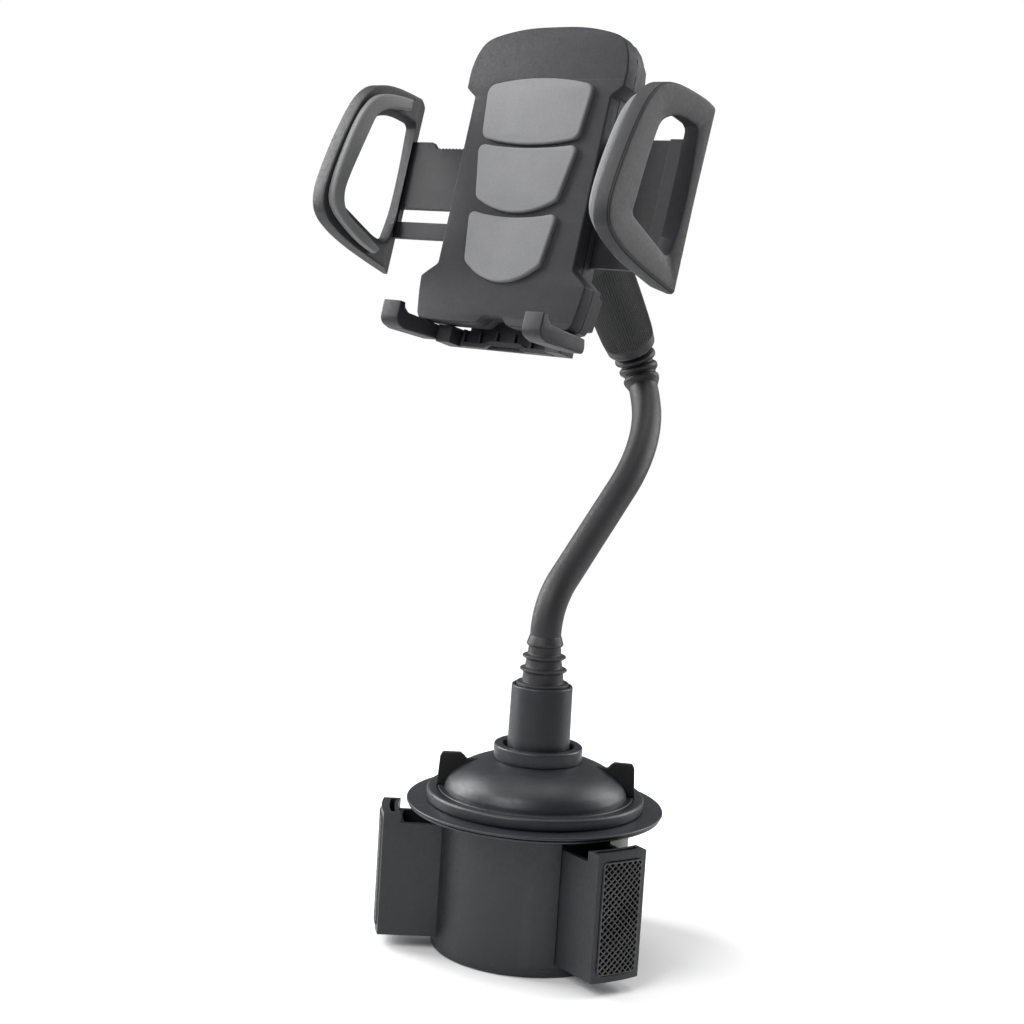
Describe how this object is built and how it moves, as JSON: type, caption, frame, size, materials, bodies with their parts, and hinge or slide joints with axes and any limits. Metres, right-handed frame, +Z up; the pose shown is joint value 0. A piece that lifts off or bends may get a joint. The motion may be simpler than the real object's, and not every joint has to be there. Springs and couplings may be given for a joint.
{
  "type": "cup holder phone mount",
  "caption": "Phone holder with an expanding cup holder base, a bendable neck, a clamped ball joint and a cradle with sliding side arms and feet",
  "frame": {"origin": "centre of the underside of the base", "axes": "+Z up through the base and post; the wings stand at 120 degrees round it; the cradle faces about -Y turned toward -X"},
  "size_m": [0.1337, 0.1286, 0.3132],
  "materials": {
    "base_satin": "satin",
    "base_dark": "matte",
    "tab_black": "matte",
    "rubber_dark": "knurled",
    "cradle_dark": "fine grain",
    "pad_grey": "fine grain",
    "steel": "plain",
    "inner_plastic": "natural"
  },
  "bodies": {
    "base": {"bottom_cap": "base_satin", "cap_screws": "steel", "base_barrel": "base_satin", "top_flange": "base_satin", "flange_screws": "steel", "center_column": "base_satin", "column_screw": "steel", "collar_ring": "base_satin", "upper_post": "base_satin", "lower_bellows": "rubber_dark", "sheath_lower": "rubber_dark", "core_lower": "steel"},
    "knob": {"adjuster_knob": "base_satin", "finger_tab_left": "tab_black", "finger_tab_right": "tab_black", "cam_plate": "inner_plastic", "cam_screws": "steel"},
    "wing_left_slide": {"wing_left": "base_dark", "wing_pad_left": "rubber_dark", "cam_pin_left": "steel"},
    "wing_right_slide": {"wing_right": "base_dark", "wing_pad_right": "rubber_dark", "cam_pin_right": "steel"},
    "wing_rear_slide": {"wing_rear": "base_dark", "wing_pad_rear": "rubber_dark", "cam_pin_rear": "steel"},
    "neck_middle": {"sheath_middle": "rubber_dark", "core_middle": "steel"},
    "neck_top": {"sheath_upper": "rubber_dark", "core_upper": "steel", "upper_bellows": "rubber_dark", "collar_core": "cradle_dark", "grip_sleeve": "rubber_dark", "ball_stud": "cradle_dark"},
    "socket": {"ball_socket": "cradle_dark"},
    "nut": {"lock_nut": "cradle_dark"},
    "cradle": {"rear_shell": "cradle_dark", "front_shell": "cradle_dark", "pad_top": "pad_grey", "pad_middle": "pad_grey", "pad_bottom": "pad_grey", "cradle_screws": "steel", "socket_retainer": "cradle_dark", "retainer_screws": "steel", "pawl_spring": "inner_plastic"},
    "pinion_gear": {"pinion": "inner_plastic"},
    "left_arm": {"arm_left": "cradle_dark", "arm_pad_left": "pad_grey", "slide_plate_left": "cradle_dark", "arm_screws_left": "steel"},
    "right_arm": {"arm_right": "cradle_dark", "arm_pad_right": "pad_grey", "slide_plate_right": "cradle_dark", "arm_screws_right": "steel"},
    "pawl": {"ratchet_pawl": "inner_plastic"},
    "button": {"release_button": "cradle_dark"},
    "feet": {"foot_bracket": "cradle_dark", "foot_left": "cradle_dark", "foot_right": "cradle_dark"}
  },
  "joints": [
    {"name": "knob_turn", "type": "hinge", "parent": "base", "child": "knob", "pos_m": [0, 0, 0.053], "axis": [0, 0, 1], "range_deg": [0, 150]},
    {"name": "wing_left_move", "type": "slide", "parent": "base", "child": "wing_left_slide", "axis": [-0.9962, -0.0872, 0], "range_m": [-0.016, 0]},
    {"name": "wing_right_move", "type": "slide", "parent": "base", "child": "wing_right_slide", "axis": [0.5736, -0.8192, 0], "range_m": [-0.016, 0]},
    {"name": "wing_rear_move", "type": "slide", "parent": "base", "child": "wing_rear_slide", "axis": [0.4226, 0.9063, 0], "range_m": [-0.016, 0]},
    {"name": "neck_lower_bend", "type": "hinge", "parent": "base", "child": "neck_middle", "pos_m": [0.00696, 0.00803, 0.13133], "axis": [-0.7554, 0.6552, 0], "range_deg": [-25, 25]},
    {"name": "neck_upper_bend", "type": "hinge", "parent": "neck_middle", "child": "neck_top", "pos_m": [0.02123, 0.02448, 0.15477], "axis": [0.48, 0.5534, -0.6808], "range_deg": [-25, 25]},
    {"name": "cradle_tilt", "type": "hinge", "parent": "neck_top", "child": "socket", "pos_m": [0.00168, 0.03351, 0.25472], "axis": [0.7793, -0.6266, 0], "range_deg": [-60, 12]},
    {"name": "lock_nut_turn", "type": "hinge", "parent": "socket", "child": "nut", "pos_m": [0.00168, 0.03351, 0.25472], "axis": [0.609, 0.7575, -0.2351], "continuous": true},
    {"name": "cradle_roll", "type": "hinge", "parent": "socket", "child": "cradle", "pos_m": [0.00168, 0.03351, 0.25472], "axis": [0.609, 0.7575, -0.2351], "continuous": true},
    {"name": "arm_left_slide", "type": "slide", "parent": "cradle", "child": "left_arm", "axis": [0.7793, -0.6266, 0], "range_m": [0, 0.022]},
    {"name": "arm_right_slide", "type": "slide", "parent": "cradle", "child": "right_arm", "axis": [-0.7793, 0.6266, 0], "range_m": [0, 0.022]},
    {"name": "pinion_turn", "type": "hinge", "parent": "cradle", "child": "pinion_gear", "pos_m": [-0.01271, 0.0156, 0.26182], "axis": [0.609, 0.7575, -0.2351], "range_deg": [0, 264]},
    {"name": "button_press", "type": "slide", "parent": "cradle", "child": "button", "axis": [-0.609, -0.7575, 0.2351], "range_m": [0, 0.0015], "stiffness_N_per_m": 250, "springref_m": -0.001},
    {"name": "pawl_lift", "type": "slide", "parent": "cradle", "child": "pawl", "axis": [0.1473, 0.1833, 0.972], "range_m": [0, 0.0015], "deforming": ["pawl_spring"]},
    {"name": "feet_slide", "type": "slide", "parent": "cradle", "child": "feet", "axis": [-0.1473, -0.1833, -0.972], "range_m": [0, 0.01]}
  ],
  "couplings": [
    {"joint": "wing_left_move", "follows": "knob_turn", "m_per_rad": -0.0061116},
    {"joint": "wing_right_move", "follows": "knob_turn", "m_per_rad": -0.0061116},
    {"joint": "wing_rear_move", "follows": "knob_turn", "m_per_rad": -0.0061116},
    {"joint": "arm_right_slide", "follows": "arm_left_slide", "ratio": 1},
    {"joint": "pinion_turn", "follows": "arm_left_slide", "rad_per_m": 208.33},
    {"joint": "pawl_lift", "follows": "button_press", "ratio": 1}
  ]
}
